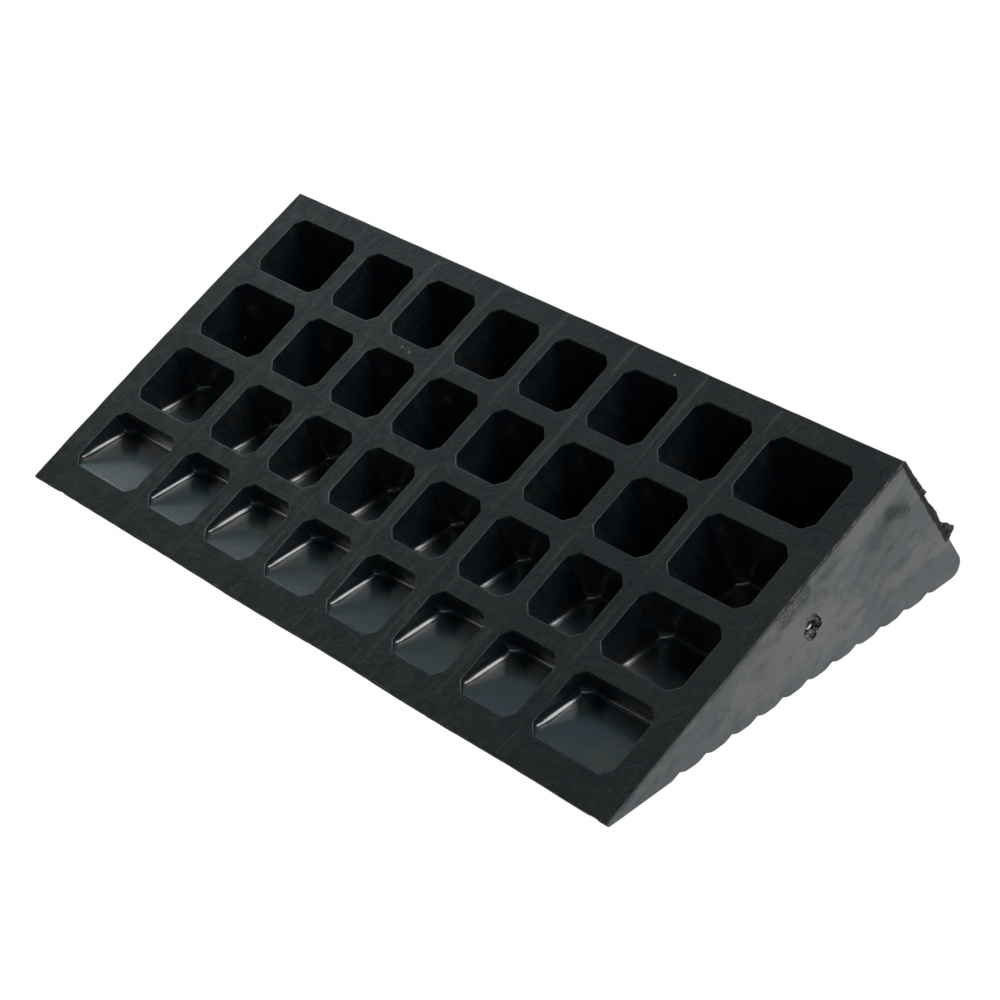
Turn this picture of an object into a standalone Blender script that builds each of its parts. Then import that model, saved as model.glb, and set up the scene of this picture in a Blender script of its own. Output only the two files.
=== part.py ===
"""Rubber kerb ramp with a pocketed underside, and the steel pin that links it to the next ramp.

The ramp is one moulding. It is built here as the regions that a moulder would name: a nose, a tread
plate, a back wall, two end walls, the ribs that run front to back between the columns of pockets, and
the short webs that cross between the ribs. The base lies on z = 0, the thin edge faces -Y, and the
origin is the middle of the bounding box's underside. Units are metres.

A point of the side profile is (v, z): v runs back from the thin edge along the base, z is the height.
"""

import math

import bmesh
import bpy

# Overall sizes
LENGTH = 0.5036
BASE_DEPTH = 0.250
TREAD_ANGLE = math.radians(22.05)
NOSE_HEIGHT = 0.0027
NOSE_LAND = 0.0017
BACK_LEAN = math.radians(4.0)
TOP_RADIUS = 0.008
TOP_STEPS = 6

# Grooves across the tread, measured along its slope
GROOVES = 11
FIRST_GROOVE = 0.0514
GROOVE_PITCH = 0.01932
GROOVE_DEPTH = 0.0021
GROOVE_HALF_WIDTH = 0.0065

# Pockets in the underside: columns along X, rows back from the thin edge
COLUMNS = 8
ROWS = 4
PIN_END_WALL = 0.0187
PLAIN_END_WALL = 0.0175
END_POCKET = 0.0594
RIB = 0.0126
FRONT_MARGIN = 0.0205
POCKET_RUN = 0.0447
WEB = 0.0117
CORNER = 0.006
SIDE_DRAFT = math.tan(math.radians(2.5))
FRONT_DRAFT = math.tan(math.radians(2.5))
BACK_DRAFT = math.tan(math.radians(5.5))
FLOOR_START = 0.0013
FLOOR_SLOPE = 0.37

# Link pin and the hole for it in each end wall
HOLE_RADIUS = 0.0032
PIN_RADIUS = 0.0025
PIN_LENGTH = 0.034
PIN_INSET = 0.0030
PIN_CHAMFER = 0.0005
LINK_V = 0.1553
LINK_HEIGHT = 0.0300
ROUND_STEPS = 24

GAP = 0.0003
CUT_MARGIN = 0.01
TURN = 2 * math.pi

INNER_POCKET = (LENGTH - PIN_END_WALL - PLAIN_END_WALL - 2 * END_POCKET - (COLUMNS - 1) * RIB) / (
    COLUMNS - 2
)
NOSE_RUN = FRONT_MARGIN - GAP
BACK_WALL_V = FRONT_MARGIN + ROWS * POCKET_RUN + (ROWS - 1) * WEB
LEAN = math.tan(BACK_LEAN)


def tread_height(v):
    """Height of the tread's crests."""
    return NOSE_HEIGHT + math.tan(TREAD_ANGLE) * v


def floor_height(v):
    """Height of the sloping floor that the pockets end at."""
    return FLOOR_START + FLOOR_SLOPE * (v - FRONT_MARGIN)


def top_corner():
    """The rounded corner between the tread and the back face, from the tread down."""
    # The circle's centre lies one radius inside both faces.
    tread_offset = TOP_RADIUS / math.cos(TREAD_ANGLE)
    back_offset = TOP_RADIUS / math.cos(BACK_LEAN)
    slope = math.tan(TREAD_ANGLE)
    centre_v = (BASE_DEPTH - back_offset + LEAN * (NOSE_HEIGHT - tread_offset)) / (1 - LEAN * slope)
    centre_z = tread_height(centre_v) - tread_offset
    start = math.pi / 2 + TREAD_ANGLE
    end = -BACK_LEAN
    angles = [start + (end - start) * step / TOP_STEPS for step in range(TOP_STEPS + 1)]
    return [
        (centre_v + TOP_RADIUS * math.cos(angle), centre_z + TOP_RADIUS * math.sin(angle))
        for angle in angles
    ]


# The profile's deepest point sets how far the bounding box reaches back.
HALF_DEPTH = max(v for v, _ in top_corner()) / 2


def world(x, v, z):
    return (x, v - HALF_DEPTH, z)


def groove(centre):
    """One rounded V across the tread, as points (along the slope, below the crests)."""
    width = GROOVE_HALF_WIDTH
    return [
        (centre - width, 0.0),
        (centre - 0.65 * width, 0.18 * GROOVE_DEPTH),
        (centre - 0.08 * width, GROOVE_DEPTH),
        (centre + 0.08 * width, GROOVE_DEPTH),
        (centre + 0.55 * width, 0.32 * GROOVE_DEPTH),
        (centre + width, 0.0),
    ]


def on_tread(along, below):
    cos, sin = math.cos(TREAD_ANGLE), math.sin(TREAD_ANGLE)
    return (along * cos + below * sin, NOSE_HEIGHT + along * sin - below * cos)


def columns():
    """Each pocket's two sides in x, from the pin end."""
    found = []
    x = -LENGTH / 2 + PIN_END_WALL
    for column in range(COLUMNS):
        width = END_POCKET if column in (0, COLUMNS - 1) else INNER_POCKET
        found.append((x, x + width))
        x += width + RIB
    return found


def rows():
    """Each pocket's front and back in v, from the thin edge."""
    fronts = [FRONT_MARGIN + row * (POCKET_RUN + WEB) for row in range(ROWS)]
    return [(front, front + POCKET_RUN) for front in fronts]


def material(name, colour, roughness, metallic):
    made = bpy.data.materials.new(name)
    made.use_nodes = True
    shader = made.node_tree.nodes["Principled BSDF"]
    shader.inputs["Base Color"].default_value = (*colour, 1.0)
    shader.inputs["Roughness"].default_value = roughness
    shader.inputs["Metallic"].default_value = metallic
    return made


def add_object(name, bm, surface):
    bmesh.ops.recalc_face_normals(bm, faces=bm.faces)
    mesh = bpy.data.meshes.new(name)
    bm.to_mesh(mesh)
    bm.free()
    mesh.materials.append(surface)
    made = bpy.data.objects.new(name, mesh)
    bpy.context.scene.collection.objects.link(made)
    return made


def extruded(name, profile, x_from, x_to, surface):
    """A solid of one side profile, extruded along X."""
    bm = bmesh.new()
    near = [bm.verts.new(world(x_from, v, z)) for v, z in profile]
    far = [bm.verts.new(world(x_to, v, z)) for v, z in profile]
    bm.faces.new(near)
    bm.faces.new(reversed(far))
    for i, start in enumerate(near):
        after = (i + 1) % len(near)
        bm.faces.new((start, far[i], far[after], near[after]))
    return add_object(name, bm, surface)


def drafted(name, outline, surface):
    """A solid that stands on the base and ends at the pocket floor.

    The outline is a list of (x, v, dx, dv): a corner on the base, and how far its edge leans in x and
    in v for each metre of height.
    """
    bm = bmesh.new()
    low, high = [], []
    for x, v, dx, dv in outline:
        z = floor_height(v) / (1 - FLOOR_SLOPE * dv)
        low.append(bm.verts.new(world(x, v, 0)))
        high.append(bm.verts.new(world(x + dx * z, v + dv * z, z)))
    bm.faces.new(low)
    bm.faces.new(reversed(high))
    for i, start in enumerate(low):
        after = (i + 1) % len(low)
        bm.faces.new((start, high[i], high[after], low[after]))
    return add_object(name, bm, surface)


def make_nose(surface):
    profile = [
        (0.0, 0.0),
        (0.0, NOSE_LAND),
        (NOSE_LAND, tread_height(NOSE_LAND)),
        (NOSE_RUN, tread_height(NOSE_RUN)),
        (NOSE_RUN, 0.0),
    ]
    return extruded("nose_edge", profile, -LENGTH / 2, LENGTH / 2, surface)


def make_tread_plate(surface):
    profile = [(FRONT_MARGIN, tread_height(FRONT_MARGIN))]
    for index in range(GROOVES):
        profile += [on_tread(*point) for point in groove(FIRST_GROOVE + index * GROOVE_PITCH)]
    profile += top_corner()
    # The underside runs a gap above the pocket floor, out to the leaning back face.
    level = FLOOR_START + GAP - FLOOR_SLOPE * FRONT_MARGIN
    back_v = (BASE_DEPTH + LEAN * level) / (1 - LEAN * FLOOR_SLOPE)
    profile += [(back_v, level + FLOOR_SLOPE * back_v), (FRONT_MARGIN, FLOOR_START + GAP)]
    return extruded("tread_plate", profile, -LENGTH / 2, LENGTH / 2, surface)


def make_back_wall(surface):
    """The wall behind the last row, with a small gusset in each pocket corner."""
    half = LENGTH / 2
    outline = [
        (-half, BACK_WALL_V, 0, -BACK_DRAFT),
        (-half, BASE_DEPTH, 0, LEAN),
        (half, BASE_DEPTH, 0, LEAN),
        (half, BACK_WALL_V, 0, -BACK_DRAFT),
    ]
    for low_x, high_x in reversed(columns()):
        outline += [
            (high_x - GAP, BACK_WALL_V, -SIDE_DRAFT, -BACK_DRAFT),
            (high_x - GAP, BACK_WALL_V - CORNER + GAP, -SIDE_DRAFT, -BACK_DRAFT),
            (high_x - CORNER, BACK_WALL_V, -SIDE_DRAFT, -BACK_DRAFT),
            (low_x + CORNER, BACK_WALL_V, SIDE_DRAFT, -BACK_DRAFT),
            (low_x + GAP, BACK_WALL_V - CORNER + GAP, SIDE_DRAFT, -BACK_DRAFT),
            (low_x + GAP, BACK_WALL_V, SIDE_DRAFT, -BACK_DRAFT),
        ]
    return drafted("back_wall", outline, surface)


def make_rib(name, low_x, high_x, low_lean, high_lean, surface):
    """A wall from the nose to the back wall. The leans widen it upwards."""
    back_v = BACK_WALL_V - GAP
    outline = [
        (low_x, FRONT_MARGIN, low_lean, 0),
        (low_x, back_v, low_lean, -BACK_DRAFT),
        (high_x, back_v, high_lean, -BACK_DRAFT),
        (high_x, FRONT_MARGIN, high_lean, 0),
    ]
    return drafted(name, outline, surface)


def make_web(name, column, row, surface):
    """A cross web between two pockets of one column, flared into their chamfered corners."""
    low_x, high_x = column
    front, back = rows()[row][1], rows()[row + 1][0]
    flare = CORNER - GAP
    outline = [
        (low_x + GAP, front - flare, SIDE_DRAFT, -BACK_DRAFT),
        (low_x + CORNER, front, SIDE_DRAFT, -BACK_DRAFT),
        (high_x - CORNER, front, -SIDE_DRAFT, -BACK_DRAFT),
        (high_x - GAP, front - flare, -SIDE_DRAFT, -BACK_DRAFT),
        (high_x - GAP, back + flare, -SIDE_DRAFT, FRONT_DRAFT),
        (high_x - CORNER, back, -SIDE_DRAFT, FRONT_DRAFT),
        (low_x + CORNER, back, SIDE_DRAFT, FRONT_DRAFT),
        (low_x + GAP, back + flare, SIDE_DRAFT, FRONT_DRAFT),
    ]
    return drafted(name, outline, surface)


def turned(name, stations, surface):
    """A round solid along X, as (x, radius) stations, on the link hole's axis."""
    bm = bmesh.new()
    rings = []
    for x, radius in stations:
        ring = []
        for step in range(ROUND_STEPS):
            angle = TURN * step / ROUND_STEPS
            ring.append(bm.verts.new((x, radius * math.cos(angle), radius * math.sin(angle))))
        rings.append(ring)
    bm.faces.new(rings[0])
    bm.faces.new(reversed(rings[-1]))
    for ring, following in zip(rings, rings[1:]):
        for i, start in enumerate(ring):
            after = (i + 1) % ROUND_STEPS
            bm.faces.new((start, following[i], following[after], ring[after]))
    made = add_object(name, bm, surface)
    made.location = world(0, LINK_V, LINK_HEIGHT)
    made.data.shade_smooth()
    made.data.set_sharp_from_angle(angle=math.radians(30))
    return made


def drill(wall, cutter):
    cut = wall.modifiers.new("link_hole", "BOOLEAN")
    cut.operation = "DIFFERENCE"
    cut.solver = "EXACT"
    cut.object = cutter


def make_end_walls(surface):
    half = LENGTH / 2
    pin_end = make_rib("end_wall_pin_side", -half, columns()[0][0], 0, SIDE_DRAFT, surface)
    plain_end = make_rib("end_wall_plain_side", columns()[-1][1], half, -SIDE_DRAFT, 0, surface)
    reach = half + CUT_MARGIN
    cutter = turned("link_hole_cutter", [(-reach, HOLE_RADIUS), (reach, HOLE_RADIUS)], surface)
    cutter.hide_render = True
    cutter.display_type = "WIRE"
    drill(pin_end, cutter)
    drill(plain_end, cutter)


def make_ribs(surface):
    pairs = zip(columns(), columns()[1:])
    for number, ((_, low_x), (high_x, _)) in enumerate(pairs, start=1):
        make_rib(f"rib_{number}", low_x, high_x, -SIDE_DRAFT, SIDE_DRAFT, surface)


def make_webs(surface):
    for row, place in enumerate(("front", "middle", "rear")):
        for number, column in enumerate(columns(), start=1):
            make_web(f"web_{place}_{number}", column, row, surface)


def make_link_pin(surface):
    outer = -LENGTH / 2 + PIN_INSET
    inner = outer + PIN_LENGTH
    stations = [
        (outer, PIN_RADIUS - PIN_CHAMFER),
        (outer + PIN_CHAMFER, PIN_RADIUS),
        (inner - PIN_CHAMFER, PIN_RADIUS),
        (inner, PIN_RADIUS - PIN_CHAMFER),
    ]
    return turned("link_pin", stations, surface)


def main():
    for stale in list(bpy.data.objects):
        bpy.data.objects.remove(stale)
    rubber = material("moulded_rubber", (0.022, 0.025, 0.027), 0.62, 0.0)
    steel = material("zinc_plated_steel", (0.62, 0.63, 0.64), 0.35, 1.0)
    make_nose(rubber)
    make_tread_plate(rubber)
    make_back_wall(rubber)
    make_end_walls(rubber)
    make_ribs(rubber)
    make_webs(rubber)
    make_link_pin(steel)


main()
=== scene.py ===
"""Looks of the rubber kerb ramp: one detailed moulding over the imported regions, and its link pin.

The base lies on z = 0, the thin edge faces -Y and the end with the link pin faces -X. Units are metres.
"""

import math

import bmesh
import bpy
from mathutils import Matrix, Vector, noise

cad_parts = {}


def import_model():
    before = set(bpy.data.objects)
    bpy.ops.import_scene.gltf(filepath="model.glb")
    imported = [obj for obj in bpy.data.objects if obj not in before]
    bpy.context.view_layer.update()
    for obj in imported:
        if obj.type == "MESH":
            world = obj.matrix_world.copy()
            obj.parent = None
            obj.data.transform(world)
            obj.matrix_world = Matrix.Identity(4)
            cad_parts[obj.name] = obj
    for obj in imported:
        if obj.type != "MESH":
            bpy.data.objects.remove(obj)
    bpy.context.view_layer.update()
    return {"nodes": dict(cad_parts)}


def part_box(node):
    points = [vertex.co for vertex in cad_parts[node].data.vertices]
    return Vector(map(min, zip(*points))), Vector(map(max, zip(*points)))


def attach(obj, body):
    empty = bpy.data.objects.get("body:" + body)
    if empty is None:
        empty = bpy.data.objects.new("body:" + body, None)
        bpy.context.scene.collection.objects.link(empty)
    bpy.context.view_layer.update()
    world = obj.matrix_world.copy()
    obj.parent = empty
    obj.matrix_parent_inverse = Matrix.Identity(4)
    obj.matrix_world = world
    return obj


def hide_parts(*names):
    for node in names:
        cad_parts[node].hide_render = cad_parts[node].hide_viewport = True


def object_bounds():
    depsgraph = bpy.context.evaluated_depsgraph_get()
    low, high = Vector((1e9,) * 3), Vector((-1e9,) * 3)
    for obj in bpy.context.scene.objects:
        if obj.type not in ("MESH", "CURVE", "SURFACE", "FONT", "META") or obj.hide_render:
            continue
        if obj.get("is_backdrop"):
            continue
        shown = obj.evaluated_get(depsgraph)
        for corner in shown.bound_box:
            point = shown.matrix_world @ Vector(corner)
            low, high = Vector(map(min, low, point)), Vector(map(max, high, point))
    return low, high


# Sizes of the design that the frame's boxes don't give
COLUMNS = 8
GAP = 0.0003
TREAD_ANGLE = math.radians(22.05)
NOSE_HEIGHT = 0.0027
NOSE_RADIUS = 0.0016
BACK_LEAN = math.tan(math.radians(4.0))
TOP_RADIUS = 0.008
GROOVES = 11
FIRST_GROOVE = 0.0514
GROOVE_PITCH = 0.01932
CORNER = 0.006
SIDE_DRAFT = math.tan(math.radians(2.5))
FRONT_DRAFT = math.tan(math.radians(2.5))
BACK_DRAFT = math.tan(math.radians(5.5))
PIN_CLEARANCE = 0.0007

# Edges, seams and roundings that only the looks have
TOE_RADIUS = 0.0007
BACK_ARRIS = 0.0009
END_ARRIS = 0.0006
RIM = 0.0006
RIM_STEP = 0.00016
FILLET = 0.0044
CORNER_ROUND = 0.0007
MARGIN = 0.0010
SEAM_HALF = 0.0017
SEAM_EDGE = 0.0006
SIDE_STEPS = 8
ROUND_STEPS = 4
WALL_STEPS = 3
MITRE_LIMIT = 0.35

# Points on the tread before its first groove, as distances from the thin edge
PLAIN_TREAD = (0.007, 0.018, 0.030)

# Tolerances: a corner this near z = 0 is on the base, and points this close are one
ON_BASE = 1e-6
WELD = 3e-6

# Order of the moulding's material slots. TORN is the hole's mouth on the pin side.
BASE, POCKET, SKIN, END, TORN = range(5)


# --- small helpers ---


def link(obj):
    bpy.context.scene.collection.objects.link(obj)
    return obj


def smoothstep(low, high, value):
    share = min(1.0, max(0.0, (value - low) / (high - low)))
    return share * share * (3 - 2 * share)


def wobble(point, size, amount, seed=0.0):
    """Smooth noise from about -amount to amount, with bumps about `size` metres across."""
    return amount * noise.noise(Vector(point) / size + Vector((seed, seed * 1.7, seed * 0.6)))


def arc(centre, radius, start, end, steps):
    found = []
    for step in range(steps + 1):
        angle = start + (end - start) * step / steps
        found.append((centre[0] + radius * math.cos(angle), centre[1] + radius * math.sin(angle)))
    return found


def interpolated(table, value):
    """Straight-line value from a short table of (position, value) pairs."""
    if value <= table[0][0]:
        return table[0][1]
    for (a, low), (b, high) in zip(table, table[1:]):
        if value <= b:
            return low + (high - low) * (value - a) / (b - a)
    return table[-1][1]


class Layout:
    """Where the pockets, their floor and the outer faces are, read from the frame's nodes."""

    def __init__(self, nodes):
        low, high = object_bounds()
        self.half = high.x
        self.front = low.y
        self.columns = []
        for number in range(1, COLUMNS + 1):
            a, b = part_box(f"web_rear_{number}")
            self.columns.append((a.x - GAP, b.x + GAP))
        self.seams = [(a[1] + b[0]) / 2 for a, b in zip(self.columns, self.columns[1:])]
        fronts, backs = [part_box("rib_1")[0].y], []
        for place in ("front", "middle", "rear"):
            lines = self.base_lines(nodes[f"web_{place}_1"])
            backs.append(lines[1])
            fronts.append(lines[2])
        wall = self.base_lines(nodes["back_wall"])
        backs.append(wall[-2])
        self.base_back = wall[-1]
        self.rows = list(zip(fronts, backs))
        top = [v.co for v in nodes["rib_1"].data.vertices if v.co.z > ON_BASE]
        start = min(top, key=lambda p: p.y)
        end = max(top, key=lambda p: p.y)
        self.floor_slope = (end.z - start.z) / (end.y - start.y)
        self.floor_level = start.z - self.floor_slope * start.y
        self.pin_low, self.pin_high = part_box("link_pin")
        middle = (self.pin_low + self.pin_high) / 2
        self.link = (middle.y, middle.z)
        self.pin_radius = (self.pin_high.z - self.pin_low.z) / 2
        self.end_wall = self.half + self.columns[0][0]

    @staticmethod
    def base_lines(node):
        """The y values of a node's corners on the base, in order."""
        return sorted({round(v.co.y, 6) for v in node.data.vertices if abs(v.co.z) < ON_BASE})

    def floor(self, y):
        return self.floor_level + self.floor_slope * y

    def tread(self, y):
        return NOSE_HEIGHT + math.tan(TREAD_ANGLE) * (y - self.front)

    def back_face(self, z):
        return self.base_back + BACK_LEAN * z


class Shell:
    """A mesh in the making: rings of points, and strips of faces between them."""

    def __init__(self):
        self.bm = bmesh.new()
        # A value per point that the materials paint lighter: edge wear, and painted highlight on
        # roundings
        self.wear_and_highlight = self.bm.verts.layers.float.new("wear_and_highlight")
        self.seam = self.bm.verts.layers.float.new("seam")
        self.last = None

    def begin(self):
        """The next ring starts a new run of strips."""
        self.last = None

    def face(self, corners, surface):
        face = self.bm.faces.new(corners)
        face.material_index = surface
        face.smooth = True

    def grow(self, points, surface, wear_and_highlight=0.0, closed=True):
        """Adds a ring of points, and a strip of faces from the last ring to it."""
        before, self.last = self.last, [self.bm.verts.new(point) for point in points]
        for vert in self.last:
            vert[self.wear_and_highlight] = wear_and_highlight
        if before:
            count = len(before)
            for i in range(count if closed else count - 1):
                after = (i + 1) % count
                self.face((before[i], before[after], self.last[after], self.last[i]), surface)
        return self.last

    def made(self, name, materials):
        bmesh.ops.recalc_face_normals(self.bm, faces=self.bm.faces)
        mesh = bpy.data.meshes.new(name)
        self.bm.to_mesh(mesh)
        self.bm.free()
        for material in materials:
            mesh.materials.append(material)
        return link(bpy.data.objects.new(name, mesh))


# --- the moulding's shape ---


def groove_line(centre):
    """One moulded groove, in metres along the slope and below the crests: a soft V."""
    millimetres = (
        (-7.4, 0.00), (-6.3, 0.05), (-5.2, 0.22), (-4.0, 0.60), (-2.6, 1.15), (-1.3, 1.66),
        (-0.5, 2.00), (0.0, 2.10), (0.5, 2.02), (1.2, 1.60), (2.2, 1.05), (3.4, 0.55),
        (4.7, 0.20), (6.0, 0.04), (7.2, 0.00),
    )
    return [(centre + along / 1000, below / 1000) for along, below in millimetres]


def outer_profile(layout):
    """(y, z) points from the base's front edge over the tread and down the back to the base."""
    cos, sin, slope = math.cos(TREAD_ANGLE), math.sin(TREAD_ANGLE), math.tan(TREAD_ANGLE)
    front = layout.front
    points = arc((front + TOE_RADIUS, TOE_RADIUS), TOE_RADIUS, -math.pi / 2, -math.pi, 3)
    nose = (front + NOSE_RADIUS, layout.tread(front + NOSE_RADIUS) - NOSE_RADIUS / cos)
    points += arc(nose, NOSE_RADIUS, math.pi, math.pi / 2 + TREAD_ANGLE, 5)
    points += [(front + run, layout.tread(front + run)) for run in PLAIN_TREAD]
    for index in range(GROOVES):
        for along, below in groove_line(FIRST_GROOVE + index * GROOVE_PITCH):
            y = front + along * cos + below * sin
            points.append((y, NOSE_HEIGHT + along * sin - below * cos))
    # The rounded top edge: its centre is one radius inside the tread and the leaning back face.
    tread_offset = TOP_RADIUS / cos
    back_offset = TOP_RADIUS * math.hypot(1, BACK_LEAN)
    run = layout.base_back - front
    centre = (run - back_offset + BACK_LEAN * (NOSE_HEIGHT - tread_offset)) / (1 - BACK_LEAN * slope)
    centre_z = NOSE_HEIGHT + slope * centre - tread_offset
    start, end = math.pi / 2 + TREAD_ANGLE, -math.atan(BACK_LEAN)
    points += arc((front + centre, centre_z), TOP_RADIUS, start, end, 10)
    for share in (0.8, 0.6, 0.4, 0.2):
        points.append((layout.back_face(centre_z * share), centre_z * share))
    points += arc((layout.base_back - BACK_ARRIS, BACK_ARRIS), BACK_ARRIS, 0.0, -math.pi / 2, 3)
    return points


def offset_loop(loop, distance):
    """A closed (y, z) loop moved inwards by a distance, with mitred corners."""
    count = len(loop)
    area = 0.0
    for i in range(count):
        after = loop[(i + 1) % count]
        area += loop[i][0] * after[1] - after[0] * loop[i][1]
    turn = 1.0 if area > 0 else -1.0
    moved = []
    for i in range(count):
        here = Vector(loop[i])
        before = (here - Vector(loop[i - 1])).normalized()
        after = (Vector(loop[(i + 1) % count]) - here).normalized()
        n1 = Vector((-before.y, before.x)) * turn
        n2 = Vector((-after.y, after.x)) * turn
        mitre = (n1 + n2) / max(MITRE_LIMIT, 1 + n1.dot(n2))
        moved.append(here + mitre * distance)
    return moved


def cell_shares(width):
    """Where a cell's side is split: at the seam strip's edges, and evenly between them."""
    near, edge = SEAM_HALF / width, (SEAM_HALF + SEAM_EDGE) / width
    even = [step / SIDE_STEPS for step in range(1, SIDE_STEPS)]
    return [0.0, near, edge, *even, 1 - edge, 1 - near]


def stations(edges):
    """Cell boundaries, with each cell split as its rectangle is."""
    found = []
    for start, end in zip(edges, edges[1:]):
        found += [start + (end - start) * share for share in cell_shares(end - start)]
    return found + [edges[-1]]


def cell_edges(layout):
    xs = [-layout.half + END_ARRIS, *layout.seams, layout.half - END_ARRIS]
    ys = [layout.front + TOE_RADIUS]
    ys += [(a[1] + b[0]) / 2 for a, b in zip(layout.rows, layout.rows[1:])]
    ys.append(layout.base_back - BACK_ARRIS)
    return xs, ys


def cell_ring(x0, x1, y0, y1, inset=0.0):
    """A cell's outline on the base. An inset clamps it inwards."""
    corners = [(x0, y0), (x1, y0), (x1, y1), (x0, y1)]
    points = []
    for i, (x, y) in enumerate(corners):
        nx, ny = corners[(i + 1) % 4]
        for share in cell_shares(abs(nx - x) + abs(ny - y)):
            px = min(max(x + (nx - x) * share, x0 + inset), x1 - inset)
            py = min(max(y + (ny - y) * share, y0 + inset), y1 - inset)
            points.append((px, py, 0))
    return points


def pocket_ring(column, row):
    """The pocket's mouth, as (point, lean per metre of height, inward mitre) at each step."""
    (xa, xb), (ya, yb) = column, row
    corners = [
        (Vector((xa, ya)), Vector((1, 1)), Vector((SIDE_DRAFT, FRONT_DRAFT))),
        (Vector((xb, ya)), Vector((-1, 1)), Vector((-SIDE_DRAFT, FRONT_DRAFT))),
        (Vector((xb, yb)), Vector((-1, -1)), Vector((-SIDE_DRAFT, -BACK_DRAFT))),
        (Vector((xa, yb)), Vector((1, -1)), Vector((SIDE_DRAFT, -BACK_DRAFT))),
    ]
    found = []
    for i, (corner, sign, lean) in enumerate(corners):
        following, next_sign, next_lean = corners[(i + 1) % 4]
        axis = i % 2
        along = (following - corner).normalized()
        side_normal = Vector((0, sign.y)) if axis == 0 else Vector((sign.x, 0))
        start = corner + along * CORNER
        end = following - along * CORNER
        chamfer, next_chamfer = sign.normalized(), next_sign.normalized()
        mitre = (side_normal + chamfer) / (1 + side_normal.dot(chamfer))
        next_mitre = (side_normal + next_chamfer) / (1 + side_normal.dot(next_chamfer))
        middle = corner + sign * (CORNER / 2)
        next_middle = following + next_sign * (CORNER / 2)
        found.append((middle, lean, chamfer))
        found.append((start + (middle - start).normalized() * CORNER_ROUND, lean, mitre))
        found.append((start + along * CORNER_ROUND, lean, mitre))
        for step in range(1, SIDE_STEPS):
            share = step / SIDE_STEPS
            point = start + (end - start) * share
            found.append((point, lean + (next_lean - lean) * share, side_normal))
        found.append((end - along * CORNER_ROUND, next_lean, next_mitre))
        rounding = (next_middle - end).normalized() * CORNER_ROUND
        found.append((end + rounding, next_lean, next_mitre))
    return found


class Side:
    """One step round a pocket: its point on the base, its lean, and its roundings."""

    def __init__(self, layout, point, lean, inward, step_share):
        x, y = point
        self.point = Vector((x, y, 0))
        self.lean = Vector((lean.x, lean.y, 1))
        self.inward = Vector((inward.x, inward.y, 0))
        self.along_floor = Vector((inward.x, inward.y, layout.floor_slope * inward.y))
        self.height = layout.floor(y) / (1 - layout.floor_slope * lean.y)
        uneven = 1 + wobble((x, y, 0), size=0.02, amount=0.5, seed=3.1)
        self.rim = min(RIM * uneven, 0.35 * self.height)
        room = self.height - self.rim
        uneven = 1 + wobble((x, y, 1), size=0.03, amount=0.3, seed=8.3)
        self.fillet = min(FILLET * uneven, 0.85 * room)
        self.step = min(RIM_STEP * step_share, 0.1 * self.height)

    def rounded_rim(self, angle):
        back = self.inward * self.rim * (1 - math.sin(angle))
        return self.point - back + self.lean * self.rim * (1 - math.cos(angle))

    def lip(self, rims, most):
        """A point straight below the rim, some rims deep, and at most a share of the way down."""
        return self.point + self.lean * min(self.rim * rims, self.height * most)

    def wall(self, share):
        """A point on the wall, from the rim at 0 to the fillet at 1, inside the core's step."""
        height = self.rim + (self.height - self.fillet - self.rim) * share
        return self.point + self.lean * height + self.inward * self.step

    def fillet_point(self, angle):
        foot = self.point + self.lean * self.height + self.inward * self.step
        up = self.lean * self.fillet * (1 - math.sin(angle))
        return foot - up + self.along_floor * self.fillet * (1 - math.cos(angle))


def add_pocket(shell, layout, column, row, x0, x1, y0, y1):
    """One cell of the underside: the flat face round a pocket, its rim, walls, fillet and floor."""
    step_share = smoothstep(-0.2, 0.3, noise.noise(Vector((column[0] * 23, row[0] * 29, 5.5))))
    outline = pocket_ring(column, row)
    sides = [Side(layout, point, lean, inward, step_share) for point, lean, inward in outline]

    # The seam between the mould's inserts runs down the middle of each rib.
    shell.begin()
    for vert in shell.grow(cell_ring(x0, x1, y0, y1), BASE):
        off = min(abs(vert.co.x - seam) for seam in layout.seams)
        vert[shell.seam] = max(0.0, 1.0 - off / SEAM_HALF)
    shell.grow(cell_ring(x0, x1, y0, y1, SEAM_HALF), BASE)
    shell.grow([s.point - s.inward * (s.rim + MARGIN) for s in sides], BASE)
    for step in range(ROUND_STEPS + 1):
        angle = math.pi / 2 * step / ROUND_STEPS
        # The rim's rounding gets the most of it: wear, and a painted highlight where the rounding
        # catches the light
        wear_and_highlight = 1.0 if 0 < step < ROUND_STEPS else 0.3
        shell.grow([s.rounded_rim(angle) for s in sides], BASE, wear_and_highlight)
    # The core's step: a straight lip below the rim, then a hair's width inwards.
    shell.grow([s.lip(2.0, 0.40) for s in sides], POCKET)
    shell.grow([s.lip(2.3, 0.45) + s.inward * s.step for s in sides], POCKET, 0.5)
    for step in range(1, WALL_STEPS + 1):
        share = 0.15 + 0.85 * step / WALL_STEPS
        shell.grow([s.wall(share) for s in sides], POCKET)
    for step in range(1, ROUND_STEPS + 2):
        angle = math.pi / 2 * step / (ROUND_STEPS + 1)
        shell.grow([s.fillet_point(angle) for s in sides], POCKET)
    shell.face(shell.last, POCKET)


def add_skin(shell, xs, profile):
    """The nose, the tread and the back, as strips between sections along X."""
    shell.begin()
    for x in stations(xs):
        shell.grow([(x, y, z) for y, z in profile], SKIN, closed=False)


def add_ends(shell, layout, loop):
    """Both end faces, with their rounded arrises."""
    for side in (-1, 1):
        shell.begin()
        for step in range(ROUND_STEPS + 1):
            angle = math.pi / 2 * step / ROUND_STEPS
            x = side * (layout.half - END_ARRIS * (1 - math.sin(angle)))
            inset = offset_loop(loop, END_ARRIS * (1 - math.cos(angle)))
            shell.grow([(x, y, z) for y, z in inset], END, 1.0 if step else 0.5)
        for vert in shell.last:
            vert[shell.wear_and_highlight] = 0.0
        shell.face(shell.last, END)


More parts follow.
